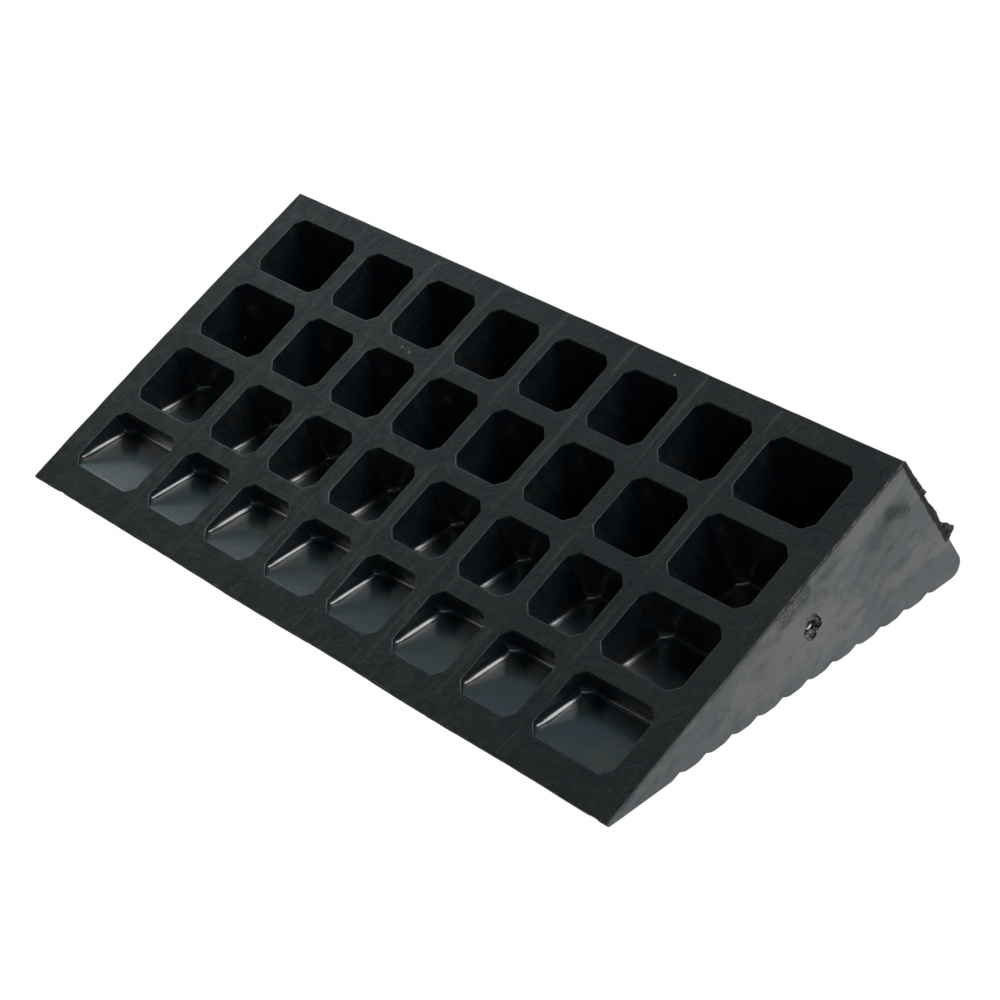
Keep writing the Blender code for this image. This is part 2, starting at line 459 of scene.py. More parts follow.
def split_arrises(bm, layout):
    """Puts more points along the thin edge, the back edge and the ends, which get nicked."""
    chosen = []
    straight = 0.99
    for edge in bm.edges:
        a, b = (v.co for v in edge.verts)
        middle = (a + b) / 2
        along = (b - a).normalized()
        low = middle.z < 0.004
        near_thin_edge = low and middle.y < layout.front + 0.002
        near_back_edge = low and middle.y > layout.base_back - 0.002
        near_end = abs(middle.x) > layout.half - 0.001 and middle.z < 0.0008
        if abs(along.x) > straight and (near_thin_edge or near_back_edge):
            chosen.append(edge)
        if abs(along.y) > straight and near_end and edge.calc_length() > 0.003:
            chosen.append(edge)
    bmesh.ops.subdivide_edges(bm, edges=chosen, cuts=2, use_grid_fill=False)


def nick(position, spacing, seed):
    """How much of a nick there is at a position along an edge, from 0 to 1: a few, well apart."""
    value = noise.noise(Vector((position / spacing, seed, 0.7)))
    return smoothstep(0.42, 0.72, value)


def end_bow(share):
    """How far the plain end stands out, at a share of the way from the thin edge to the back."""
    most, curve, crest, step = 0.0006, 0.0055, 0.42, 0.0004
    return most - curve * (share - crest) ** 2 - step * smoothstep(0.76, 0.80, share)


def weather(bm, layout):
    """Bows, waves and nicks the outline by fractions of a millimetre, always within the design."""
    run = layout.base_back - layout.front
    for vert in bm.verts:
        x, y, z = vert.co
        at_thin_edge = 1 - smoothstep(0.0, 0.022, y - layout.front)
        at_plain_end = smoothstep(layout.half - 0.016, layout.half - 0.002, x)
        at_pin_end = smoothstep(layout.half - 0.016, layout.half - 0.002, -x)
        at_base = 1 - smoothstep(0.0, 0.004, z)
        shift = Vector((0, 0, 0))
        shift.y += at_thin_edge * wobble((x, 0, 0), size=0.075, amount=0.0007, seed=2.2)
        ripple = wobble((x, z, 0), size=0.009, amount=0.0002, seed=6.1)
        shift.y += at_thin_edge * (ripple + 0.0007 * nick(x, spacing=0.011, seed=3.3))
        ripple = wobble((y, z, 3), size=0.012, amount=0.00025, seed=4.0)
        shift.x += at_plain_end * (end_bow((y - layout.front) / run) + at_base * ripple)
        ripple = wobble((y, z, 5), size=0.010, amount=0.00035, seed=9.0)
        shift.x += at_pin_end * at_base * abs(ripple)
        if y > layout.base_back - 0.003:
            shift.y += at_base * wobble((x, z, 7), size=0.014, amount=0.00025, seed=1.3)
        if z > 0.004 and z > layout.tread(y) - 0.004:
            shift.z += wobble((x, y, 0), size=0.09, amount=0.0003, seed=5.0) + 0.0001
        vert.co += shift


def apply_modifiers(obj):
    graph = bpy.context.evaluated_depsgraph_get()
    mesh = bpy.data.meshes.new_from_object(obj.evaluated_get(graph))
    obj.modifiers.clear()
    old, obj.data = obj.data, mesh
    bpy.data.meshes.remove(old)


def drill(moulding, cutter):
    cut = moulding.modifiers.new(cutter.name, "BOOLEAN")
    cut.operation = "DIFFERENCE"
    cut.solver = "EXACT"
    cut.material_mode = "TRANSFER"
    cut.object = cutter
    bpy.context.view_layer.update()
    apply_modifiers(moulding)
    bpy.data.objects.remove(cutter)


def turned(name, outline, centre, segments, material, raggedness=None, tall=1.0, slant=0.0):
    """A closed solid about X, from an outline of (x, radius): round, or tall and slanted."""
    shell = Shell()
    rings = []
    for index, (x, radius) in enumerate(outline):
        points = []
        for step in range(segments):
            angle = 2 * math.pi * step / segments
            more, further = raggedness(index, angle) if raggedness else (0.0, 0.0)
            across = (radius + more) * math.cos(angle)
            up = (radius + more) * math.sin(angle) * tall
            points.append((x + further, centre[0] + across, centre[1] + up + across * slant))
        rings.append(shell.grow(points, 0))
    shell.face(rings[0], 0)
    shell.face(rings[-1], 0)
    return shell.made(name, [material])


def make_moulding(layout, materials):
    shell = Shell()
    xs, ys = cell_edges(layout)
    for column, x0, x1 in zip(layout.columns, xs, xs[1:]):
        for row, y0, y1 in zip(layout.rows, ys, ys[1:]):
            add_pocket(shell, layout, column, row, x0, x1, y0, y1)
    profile = outer_profile(layout)
    add_skin(shell, xs, profile)
    add_ends(shell, layout, profile + [(y, 0.0) for y in reversed(stations(ys)[1:-1])])
    bmesh.ops.remove_doubles(shell.bm, verts=shell.bm.verts, dist=WELD)
    split_arrises(shell.bm, layout)
    weather(shell.bm, layout)
    moulding = shell.made("ramp_moulding", materials)
    drill_link_holes(moulding, layout, materials[TORN], materials[POCKET])
    corners = moulding.modifiers.new("even_shading", "WEIGHTED_NORMAL")
    corners.mode = "FACE_AREA"
    corners.keep_sharp = True
    return moulding


def tear(index, angle):
    """How far a lobe's outline strays at an angle: (in radius, in depth). Its outer end stays plain."""
    if index == 0:
        return 0.0, 0.0
    p = Vector((math.cos(angle) * 1.6, math.sin(angle) * 1.6, index * 0.9))
    return 0.0007 * noise.fractal(p, 0.6, 2.2, 4), 0.0003 * noise.noise(p * 2.7)


def drill_link_holes(moulding, layout, torn, pocket):
    """The link hole through each end wall. On the pin side its mouth is torn open in two lobes."""
    bore = layout.pin_radius + PIN_CLEARANCE
    half, past_wall = layout.half, 0.006
    deep = half - layout.end_wall - past_wall
    y, z = layout.link

    # Each lobe is a hollow in the face, given as (depth, radius) from outside the face inwards.
    lobes = (
        ("upper_lobe", (y + 0.0019, z - 0.0022), 44, (
            (-0.0030, 0.0052), (0.0001, 0.0050), (0.0008, 0.0046), (0.0012, 0.0034), (0.0015, 0.0012),
        )),
        ("lower_lobe", (y - 0.0029, z + 0.0014), 40, (
            (-0.0030, 0.0042), (0.0001, 0.0040), (0.0007, 0.0036), (0.0011, 0.0028), (0.0014, 0.0010),
        )),
    )
    for name, centre, segments, hollow in lobes:
        outline = [(depth - half, radius) for depth, radius in hollow]
        drill(moulding, turned(name, outline, centre, segments, torn, tear, tall=1.32, slant=0.38))

    mouth = [
        (-half - 0.0030, bore + 0.0012), (-half + 0.0014, bore + 0.0008),
        (-half + 0.0022, bore + 0.0002), (-half + 0.0030, bore), (-deep, bore),
    ]
    drill(moulding, turned("link_hole_pin_side", mouth, layout.link, 40, torn))
    mouth = [
        (deep, bore), (half - 0.0012, bore), (half - 0.0004, bore + 0.0004),
        (half + 0.0040, bore + 0.0008),
    ]
    drill(moulding, turned("link_hole_plain_side", mouth, layout.link, 40, pocket))


def torn_strip(name, layout, outline, thickness, seed, material):
    """A thin fin of moulding flash that stands back from the end face's rear arris.

    The outline is (height, how far it stands proud of the back face), in millimetres.
    """
    shell = Shell()
    rings = []
    low, high = outline[0][0], outline[-1][0]
    count = max(10, int((high - low) / 0.8))
    rooted = 0.0012
    for step in range(count + 1):
        height = low + (high - low) * step / count
        rough = noise.noise(Vector((height * 0.9, seed, 0.0)))
        proud = (interpolated(outline, height) * (1 + 0.25 * rough)) / 1000
        z = height / 1000
        face = layout.back_face(z)
        x = -layout.half + 0.0002 + 0.0003 * noise.noise(Vector((height * 0.4, seed, 4.0)))
        lean = 0.35 * proud * noise.noise(Vector((height * 0.2, seed, 9.0)))
        tip = 0.3 * thickness
        section = [
            (x - 0.0001, face - rooted, z),
            (x + lean, face + proud, z + 0.0002 * rough),
            (x + lean + tip, face + proud - 0.0001, z + 0.0002 * rough),
            (x + thickness, face - rooted, z),
        ]
        rings.append(shell.grow(section, 0, wear_and_highlight=1.0))
    shell.face(rings[0], 0)
    shell.face(rings[-1], 0)
    return shell.made(name, [material])


def make_flash(layout, material):
    """The three fins, from the base up. Their outlines are torn_strip's."""
    lower = [
        (0.2, 0.3), (8, 0.4), (14, 0.5), (20, 0.9), (27, 1.2), (31, 1.7), (32.6, 2.0), (32.8, 0.0),
    ]
    middle = [(40.5, 0.0), (46, 0.8), (50, 1.3), (54, 0.9), (58, 0.4), (60.2, 0.3)]
    flap = [(59.5, 0.2), (63, 2.2), (67, 4.2), (72.4, 7.0), (73.6, 5.2), (75.2, 2.6), (76.6, 0.1)]
    return [
        torn_strip("flash_lower", layout, lower, 0.0009, 1.5, material),
        torn_strip("flash_middle", layout, middle, 0.0008, 4.5, material),
        torn_strip("flash_flap", layout, flap, 0.0010, 7.5, material),
    ]


def make_link_pin(layout, material):
    """A cut length of plated rod: sheared end with a turned-over burr, and a chamfered inner end."""
    r = layout.pin_radius
    low, high = layout.pin_low.x, layout.pin_high.x
    profile = [
        (low + 0.00010, r * 0.02), (low + 0.00012, r * 0.55), (low + 0.00004, r * 0.80),
        (low, r * 0.88), (low + 0.00015, r * 0.96), (low + 0.0004, r), (low + 0.0010, r),
        ((low + high) / 2, r),
        (high - 0.0007, r), (high - 0.0003, r * 0.94), (high, r * 0.82), (high, r * 0.02),
    ]
    pin = turned("link_pin_rod", profile, layout.link, 48, material)
    pin.modifiers.new("even_shading", "WEIGHTED_NORMAL")
    return pin


# --- materials ---


class Surface:
    """A Principled material and a short way to wire nodes into it."""

    def __init__(self, name):
        self.material = bpy.data.materials.new(name)
        self.material.use_nodes = True
        self.tree = self.material.node_tree
        self.shader = self.tree.nodes["Principled BSDF"]
        coords = self.tree.nodes.new("ShaderNodeTexCoord")
        self.place, self.facing = coords.outputs["Object"], coords.outputs["Normal"]

    def put(self, socket, value):
        if isinstance(value, bpy.types.NodeSocket):
            self.tree.links.new(value, socket)
        else:
            socket.default_value = value

    def set(self, name, value):
        self.put(self.shader.inputs[name], value)

    def stretched(self, scale, offset=(0, 0, 0), turn=(0, 0, 0)):
        node = self.tree.nodes.new("ShaderNodeMapping")
        node.inputs["Scale"].default_value = scale
        node.inputs["Location"].default_value = offset
        node.inputs["Rotation"].default_value = turn
        self.put(node.inputs["Vector"], self.place)
        return node.outputs[0]

    def noise(self, scale, detail=4.0, rough=0.55, bend=0.0, vector=None):
        node = self.tree.nodes.new("ShaderNodeTexNoise")
        node.inputs["Scale"].default_value = scale
        node.inputs["Detail"].default_value = detail
        node.inputs["Roughness"].default_value = rough
        node.inputs["Distortion"].default_value = bend
        self.put(node.inputs["Vector"], vector or self.place)
        return node.outputs["Fac"]

    def cells(self, scale, feature="F1", vector=None):
        node = self.tree.nodes.new("ShaderNodeTexVoronoi")
        node.feature = feature
        node.inputs["Scale"].default_value = scale
        self.put(node.inputs["Vector"], vector or self.place)
        return node.outputs["Distance"]

    def map(self, value, low, high, to_low=0.0, to_high=1.0):
        node = self.tree.nodes.new("ShaderNodeMapRange")
        node.interpolation_type = "SMOOTHSTEP"
        self.put(node.inputs["Value"], value)
        limits = {"From Min": low, "From Max": high, "To Min": to_low, "To Max": to_high}
        for name, number in limits.items():
            node.inputs[name].default_value = number
        return node.outputs["Result"]

    def falling(self, value, low, high):
        """1 up to the low value, falling to 0 at the high one."""
        return self.map(value, low, high, 1.0, 0.0)

    def math(self, operation, a, b=0.0, clamp=False):
        node = self.tree.nodes.new("ShaderNodeMath")
        node.operation = operation
        node.use_clamp = clamp
        self.put(node.inputs[0], a)
        self.put(node.inputs[1], b)
        return node.outputs[0]

    def times(self, *values):
        found = values[0]
        for value in values[1:]:
            found = self.math("MULTIPLY", found, value)
        return found

    def plus(self, *values):
        found = values[0]
        for value in values[1:]:
            found = self.math("ADD", found, value)
        return found

    def minus(self, a, b):
        return self.math("SUBTRACT", a, b)

    def most(self, value, limit):
        return self.math("MINIMUM", value, limit)

    def ragged(self, value, scale, detail, rough, amount):
        """A distance with noise added, so that what ends there has an uneven edge."""
        return self.plus(value, self.times(self.minus(self.noise(scale, detail, rough), 0.5), amount))

    def mix(self, share, a, b):
        node = self.tree.nodes.new("ShaderNodeMix")
        node.data_type = "RGBA"
        self.put(node.inputs[0], share)
        for socket, colour in ((node.inputs[6], a), (node.inputs[7], b)):
            self.put(socket, (*colour, 1.0) if isinstance(colour, tuple) else colour)
        return node.outputs[2]

    def over(self, colour, mask, strength, second):
        """The colour with a second one laid over it where the mask is."""
        return self.mix(self.times(mask, strength), colour, second)

    def axis(self, name, vector=None):
        node = self.tree.nodes.new("ShaderNodeSeparateXYZ")
        self.put(node.inputs[0], vector or self.place)
        return node.outputs[name]

    def attribute(self, name):
        node = self.tree.nodes.new("ShaderNodeAttribute")
        node.attribute_name = name
        return node.outputs["Fac"]

    def near(self, centre, radius, softness):
        """A round mask about a point: 1 inside, falling to 0 over the softness."""
        off = self.vector("DISTANCE", self.place, centre)
        return self.falling(off, radius, radius + softness)

    def vector(self, operation, a, b=None, scale=None):
        node = self.tree.nodes.new("ShaderNodeVectorMath")
        node.operation = operation
        self.put(node.inputs[0], a)
        if b is not None:
            self.put(node.inputs[1], b)
        if scale is not None:
            self.put(node.inputs["Scale"], scale)
        gives_number = operation in ("DOT_PRODUCT", "LENGTH", "DISTANCE")
        return node.outputs["Value" if gives_number else "Vector"]

    def stroke(self, start, end, radius, softness):
        """A mask about the line from start to end: 1 within the radius, falling to 0."""
        along = Vector(end) - Vector(start)
        from_start = self.vector("SUBTRACT", self.place, tuple(start))
        share = self.vector("DOT_PRODUCT", from_start, tuple(along / along.length_squared))
        share = self.math("ADD", share, 0.0, clamp=True)
        nearest = self.vector("SCALE", tuple(along), scale=share)
        off = self.vector("LENGTH", self.vector("SUBTRACT", from_start, nearest))
        return self.falling(off, radius, radius + softness)

    def bump(self, height, distance, strength=1.0, after=None):
        node = self.tree.nodes.new("ShaderNodeBump")
        node.inputs["Distance"].default_value = distance
        node.inputs["Strength"].default_value = strength
        self.put(node.inputs["Height"], height)
        if after is not None:
            self.put(node.inputs["Normal"], after)
        return node.outputs[0]

    def scratches(self, scale, turn, width, amount):
        """Thin straight marks: cell borders in a space squeezed along one direction."""
        squeezed = self.stretched((scale, scale * 0.045, scale), turn=(0, 0, turn))
        line = self.falling(self.cells(1.0, "DISTANCE_TO_EDGE", squeezed), 0.0, width)
        here = self.map(self.noise(26, 3, vector=squeezed), 0.60 - 0.12 * amount, 0.72)
        return self.times(line, here)


# Linear colours
BLACK = (0.0028, 0.0048, 0.0062)
DUST = (0.078, 0.086, 0.084)
TAN = (0.20, 0.165, 0.115)
POCKET_GLOSS = (0.0045, 0.0090, 0.0145)
POCKET_BLOOM = (0.0130, 0.0130, 0.0120)
PAINTED_REFLECTION_BLUE = (0.006, 0.015, 0.021)
FILM_BROWN = (0.021, 0.018, 0.013)
SKIN_BLACK = (0.010, 0.0115, 0.0125)
END_WARM = (0.066, 0.0635, 0.062)
END_COOL = (0.037, 0.0435, 0.048)
END_PALE = (0.074, 0.072, 0.068)
END_RUBBED = (0.018, 0.021, 0.023)
END_SCRATCH = (0.012, 0.013, 0.014)
SMUDGE_AND_SHADE = (0.006, 0.007, 0.007)
SMEAR_AND_SHADE = (0.010, 0.010, 0.011)
TORN_BAND = (0.010, 0.011, 0.011)
TORN_DARK_AND_SHADE = (0.003, 0.0035, 0.004)
TORN_FIN = (0.085, 0.085, 0.080)
TORN_OPEN = (0.200, 0.200, 0.190)
ARRIS_WEAR = (0.150, 0.136, 0.108)
ZINC = (0.66, 0.67, 0.68)
ZINC_STAIN = (0.34, 0.33, 0.31)


def base_rubber(layout):
    """The flat face that meets the ground: matt, brushed front to back, scuffed and chalky, its chalk
    spread as painted light and shade and its rims lightened as wear and painted highlight.
    """
    s = Surface("rubber_base")
    cloud = s.noise(11, 5, 0.6, 0.4)
    blotch = s.noise(80, 5, 0.7, 0.8)
    mottle = s.noise(260, 4, 0.7, 0.5)
    grain = s.noise(850, 3, 0.75)
    brushed = s.noise(1.0, 4, 0.7, vector=s.stretched((560, 30, 300)))
    broad = s.noise(1.0, 4, 0.6, vector=s.stretched((170, 14, 90), (3, 1, 2)))
    scratch = s.plus(s.scratches(150, 0.35, 0.03, 0.8), s.scratches(120, -0.9, 0.03, 0.5))
    specks = s.times(s.falling(s.cells(240), 0.0, 0.12), s.map(s.noise(30, 2), 0.58, 0.72))
    # The seam between the inserts: a fine line down its middle, and a fainter one beside it
    seam = s.attribute("seam")
    gate = s.map(s.noise(1.0, 3, vector=s.stretched((90, 14, 1))), 0.42, 0.58)
    line = s.times(s.map(seam, 0.84, 0.98), gate)
    second = s.times(s.map(seam, 0.22, 0.32), s.falling(seam, 0.34, 0.46), gate)
    # Dirt along the back edge, and light nicks along the thin edge
    x, y = s.axis("X"), s.axis("Y")
    uneven = s.ragged(y, 240, 4, 0.7, 0.0014)
    back = s.map(uneven, layout.base_back - 0.0010, layout.base_back - 0.0004)
    front = s.falling(uneven, layout.front + 0.0006, layout.front + 0.0014)
    edges = s.plus(s.times(back, 0.8), s.times(front, s.map(s.noise(90, 3), 0.50, 0.62)))
    chalk = s.plus(
        s.times(s.map(cloud, 0.40, 0.72), 0.04),
        s.times(s.map(blotch, 0.46, 0.66), 0.15),
        s.times(s.map(mottle, 0.50, 0.70), 0.16),
        s.times(s.map(brushed, 0.53, 0.74), 0.20),
        s.times(s.map(broad, 0.50, 0.70), 0.06),
        s.times(s.map(grain, 0.54, 0.74), 0.16),
        s.times(scratch, 0.12),
        # Rims and arrises lightened: partly wear, partly painted highlight
        s.times(s.attribute("wear_and_highlight"), 0.36),
        s.times(line, 0.28),
        s.times(second, 0.20),
    )
    # Painted light and shade: the chalk is scaled by a straight gradient, least at the pin end's back
    # corner and most at the far end's front corner, and dimmed in a band along the thin edge
    painted_light_gradient = s.map(s.plus(x, s.times(y, -0.9)), -0.16, 0.12, 0.32, 1.30)
    painted_shade_at_front = s.map(y, layout.front + 0.012, layout.front + 0.034, 0.72, 1.0)
    painted_light_gradient = s.times(painted_light_gradient, painted_shade_at_front)
    to_end = s.plus(x, s.times(broad, 0.010))
    beside_end = s.map(to_end, 0.012 - layout.half, 0.001 - layout.half)
    chalk = s.plus(
        s.times(chalk, painted_light_gradient), s.times(beside_end, s.map(mottle, 0.40, 0.66), 0.10),
    )
    colour = s.mix(s.most(chalk, 0.95), BLACK, DUST)
    colour = s.over(colour, specks, 0.8, TAN)
    colour = s.over(colour, s.most(edges, 1.0), 0.6, TAN)
    # The three largest specks, as (x, distance from the thin edge)
    for along, v in ((0.0856, 0.1844), (0.0783, 0.1835), (-0.0920, 0.2410)):
        colour = s.mix(s.near((along, layout.front + v, 0.0), 0.0005, 0.0006), colour, TAN)
    s.set("Base Color", colour)
    s.set("Roughness", s.plus(0.36, s.times(s.map(cloud, 0.3, 0.7), 0.08), s.times(mottle, 0.14)))
    s.set("Specular IOR Level", 0.5)
    height = s.plus(
        s.times(grain, 0.5), s.times(brushed, 0.6), s.times(mottle, 0.5), s.times(scratch, -0.3),
        s.times(line, -0.9), s.times(second, 0.5),
    )
    s.set("Normal", s.bump(height, 0.00028, 0.6, s.bump(blotch, 0.0012, 0.40)))
    return s.material


def pocket_rubber():
    """Inside the pockets: the mould's own gloss, hardly touched."""
    s = Surface("rubber_pocket")
    cloud = s.noise(38, 4, 0.6, 1.2)
    grain = s.noise(700, 3, 0.6)
    bloom = s.map(s.noise(48, 4, 0.6, 2.0), 0.47, 0.64)
    specks = s.times(s.falling(s.cells(180), 0.0, 0.08), s.map(s.noise(45, 2), 0.60, 0.72))
    drawn = s.noise(1.0, 4, 0.6, vector=s.stretched((420, 420, 18)))
    scratch = s.scratches(170, 1.2, 0.03, 0.3)
    # The floors, which face down, get a blue tint as a painted reflection, with a little brown film in
    # it
    facing_down = s.falling(s.axis("Z", s.facing), -0.9, -0.6)
    brown = s.map(s.noise(48, 4, 0.6, 1.2), 0.44, 0.66)
    colour = s.mix(bloom, POCKET_GLOSS, POCKET_BLOOM)
    colour = s.mix(facing_down, colour, s.mix(brown, PAINTED_REFLECTION_BLUE, FILM_BROWN))
    colour = s.over(colour, s.map(drawn, 0.5, 0.75), 0.10, DUST)
    colour = s.over(colour, specks, 0.5, DUST)
    colour = s.over(colour, scratch, 0.4, DUST)
    s.set("Base Color", colour)
    s.set("Roughness", s.plus(0.25, s.times(s.map(cloud, 0.35, 0.65), 0.12), s.times(specks, 0.3)))
    s.set("Specular IOR Level", 0.28)
    s.set("Coat Weight", 1.0)
    s.set("Coat Roughness", 0.20)
    height = s.plus(
        s.times(grain, 0.3), s.times(specks, 0.2), s.times(scratch, -0.5), s.times(drawn, 0.25),
    )
    s.set("Normal", s.bump(height, 0.00008, 0.4, s.bump(cloud, 0.0010, 0.16)))
    return s.material


def skin_rubber():
    """The tread, the nose and the back: moulded skin with a fine even texture and light dust."""
    s = Surface("rubber_skin")
    cloud = s.noise(11, 5, 0.6, 0.6)
    grain = s.noise(1100, 2, 0.6)
    fine = s.cells(900)
    streak = s.noise(1.0, 4, 0.6, vector=s.stretched((16, 300, 200)))
    chalk = s.plus(
        s.times(s.map(cloud, 0.40, 0.72), 0.14),
        s.times(s.map(streak, 0.5, 0.75), 0.10),
        s.times(s.map(grain, 0.5, 0.8), 0.08),
        # Arrises lightened: partly wear, partly painted highlight
        s.times(s.attribute("wear_and_highlight"), 0.10),
    )
    s.set("Base Color", s.mix(chalk, SKIN_BLACK, DUST))
    s.set("Roughness", s.plus(0.44, s.times(s.map(cloud, 0.3, 0.7), 0.14)))
    s.set("Specular IOR Level", 0.5)
    height = s.plus(s.times(fine, 0.5), s.times(grain, 0.4))
    s.set("Normal", s.bump(height, 0.0002, 0.5, s.bump(s.noise(50, 3), 0.0008, 0.25)))
    return s.material


def end_rubber(layout):
    """The end faces: smoother, stained in cool and warm patches, worn and torn along the edges, with
    painted shade beside the base.
    """
    s = Surface("rubber_end")
    patches = s.noise(1.0, 5, 0.62, 0.4, s.stretched((27, 22, 34), (0.3, 0.4, 0.1)))
    rubbed = s.noise(1.0, 5, 0.68, 0.4, s.stretched((60, 60, 150), (1, 2, 3), (0.30, 0, 0)))
    soft = s.noise(26, 5, 0.6, 0.8)
    grain = s.noise(800, 3, 0.7)
    y, z = s.axis("Y"), s.axis("Z")

    def at(v, height):
        """A place on the pin-side face, from its distance to the thin edge and its height."""
        return -layout.half, layout.front + v, height

    # The bloom is cool in patches, and near the tread it is cool nearly everywhere
    soft_patches, crisp_patches = s.map(patches, 0.42, 0.57), s.map(patches, 0.48, 0.53)
    cool = s.plus(s.times(soft_patches, 0.6), s.times(crisp_patches, 0.4))
    slope = math.tan(TREAD_ANGLE)
    below_tread = s.minus(s.plus(s.times(y, slope), layout.tread(0.0)), z)
    tread_side = s.times(s.map(below_tread, 0.004, 0.022, 0.9, 0.0), s.map(patches, 0.38, 0.46))
    cool = s.math("MAXIMUM", cool, tread_side)
    scratch = s.plus(
        s.scratches(90, 0.0, 0.025, 0.5),
        s.stroke(at(0.192, 0.029), at(0.214, 0.030), 0.0001, 0.0004),
        s.stroke(at(0.2065, 0.024), at(0.2185, 0.040), 0.0001, 0.0004),
        s.stroke(at(0.170, 0.021), at(0.186, 0.034), 0.0001, 0.0003),
    )
    # A smudge of two strokes near the back edge, with a pit just past the upper one
    smudge = s.plus(
        s.times(s.stroke(at(0.2280, 0.0180), at(0.2370, 0.0275), 0.0010, 0.0060), 0.75),
        s.times(s.stroke(at(0.2260, 0.0210), at(0.2110, 0.0250), 0.0010, 0.0080), 0.45),
    )
    smudge = s.times(s.most(smudge, 1.0), s.map(s.noise(900, 4, 0.85), 0.24, 0.66))
    pit = s.near(at(0.2397, 0.0296), 0.0006, 0.0007)
    # Stipple beside the base, where the mould's face was pitted
    dots = s.falling(s.cells(1150), 0.18, 0.52)
    between = s.times(s.map(s.noise(700, 3, 0.7), 0.4, 0.7), 0.8)
    pitted = s.stroke(at(0.1420, 0.0060), at(0.1600, 0.0055), 0.0035, 0.0035)
    stipple = s.times(pitted, s.math("MAXIMUM", dots, between))
    # The torn band beside the flash: the pin side's rear arris, up to three quarters of its height
    inward = s.minus(s.plus(layout.base_back, s.times(z, BACK_LEAN)), y)
    band = s.falling(s.ragged(inward, 240, 3, 0.7, 0.0030), 0.0024, 0.0038)
    band = s.times(band, s.falling(z, 0.074, 0.077), s.falling(s.axis("X"), -0.1, 0.1))
    # A worn light line on the arris with the base, and a band of painted shade beside it
    fade = s.map(y, layout.front + 0.05, layout.front + 0.16, 0.25, 1.0)
    above_base = s.ragged(z, 260, 4, 0.7, 0.0016)
    gaps = s.map(s.noise(150, 4, 0.7), 0.40, 0.60)
    worn = s.times(s.falling(above_base, 0.0003, 0.0009), gaps, fade)
    shade = s.times(s.falling(above_base, 0.0009, 0.0026), fade)

    colour = s.mix(cool, END_WARM, END_COOL)
    colour = s.over(colour, s.map(soft, 0.4, 0.7), 0.35, END_PALE)
    colour = s.over(colour, s.map(rubbed, 0.50, 0.72), 0.35, END_RUBBED)
    colour = s.over(colour, s.map(grain, 0.5, 0.8), 0.15, DUST)
    colour = s.over(colour, scratch, 0.5, END_SCRATCH)
    # The smudge, stipple and pit, and the painted shade by the base, all darken towards one colour
    dark = s.plus(s.times(smudge, 0.95), s.times(stipple, 0.95), pit, s.times(shade, 0.6))
    colour = s.mix(s.most(dark, 1.0), colour, SMUDGE_AND_SHADE)
    colour = s.over(colour, band, 0.9, TORN_BAND)
    colour = s.over(colour, worn, 0.75, ARRIS_WEAR)
    s.set("Base Color", colour)
    roughness = s.plus(
        0.42, s.times(cool, 0.04), s.times(s.map(soft, 0.3, 0.7), 0.08),
        s.times(s.map(rubbed, 0.45, 0.7), 0.10), s.times(band, 0.55), s.times(smudge, 0.3),
        s.times(shade, 0.25), s.times(stipple, 0.4),
    )
    s.set("Roughness", roughness)
    s.set("Specular IOR Level", 0.5)
    tear_marks = s.times(s.plus(band, s.times(smudge, 0.04)), s.noise(380, 4, 0.7))
    height = s.plus(
        s.times(grain, 0.25), s.times(scratch, -0.6), s.times(tear_marks, 9.0),
        s.times(stipple, -1.5), s.times(pit, -6.0),
    )
    s.set("Normal", s.bump(height, 0.00010, 0.5, s.bump(s.noise(35, 3), 0.0010, 0.3)))
    return s.material


def torn_rubber(name, pale, outside):
    """Rubber that was torn and not moulded: dull and rough, with paler spots inwards of `outside` and
    dark outwards of it, which on the hole's mouth is painted shade along its rim.
    """
    s = Surface(name)
    lumps = s.noise(430, 5, 0.75, 0.6)
    # Near the face the mouth stays dark: painted shade along the crater's rim
    deep = s.map(s.axis("X"), outside + 0.0002, outside + 0.0008)
    share = s.times(s.map(lumps, 0.42, 0.60), deep)
    s.set("Base Color", s.mix(share, TORN_DARK_AND_SHADE, pale))
    s.set("Roughness", s.plus(0.62, s.times(lumps, 0.25)))
    s.set("Specular IOR Level", 0.2)
    s.set("Normal", s.bump(lumps, 0.0012, 0.9))
    return s.material


def zinc_plate(layout):
    """Dull zinc on drawn steel rod, with black rubber left over most of its outer end as painted shade
    too, so only a strip along its top glints.
    """
    s = Surface("zinc_plate")
    low, middle = layout.pin_low.x, layout.link[1]
    lines = s.noise(1.0, 4, 0.6, vector=s.stretched((60, 2600, 2600)))
    stain = s.map(s.noise(420, 4, 0.6, 0.5), 0.50, 0.68)
    # Rubber residue and painted shade: the end is blackened below a ragged height, leaving its top
    # bright
    height = s.ragged(s.axis("Z"), 520, 3, 0.55, 0.0012)
    lower_half = s.falling(height, middle + 0.0004, middle + 0.0010)
    smear_and_shade_mask = s.times(lower_half, s.falling(s.axis("X"), low + 0.0004, low + 0.0010))
    s.set("Base Color", s.mix(smear_and_shade_mask, s.over(ZINC, stain, 0.6, ZINC_STAIN), SMEAR_AND_SHADE))
    s.set("Metallic", s.minus(1.0, smear_and_shade_mask))
    s.set("Roughness", s.plus(0.24, s.times(lines, 0.14), s.times(stain, 0.16), s.times(smear_and_shade_mask, 0.4)))
    s.set("Normal", s.bump(lines, 0.00004, 0.4))
    return s.material


# --- studio ---


# The photograph's viewpoint, from a pinhole camera fitted to the pockets' and the base's corners
CAMERA_PLACE = Vector((-1.03879, -0.40348, -1.08372))
CAMERA_RIGHT = Vector((-0.67547, 0.63268, 0.37876))
CAMERA_UP = Vector((0.35127, 0.72771, -0.58911))
FOCAL_LENGTH = 98.33
SENSOR_WIDTH = 36.0


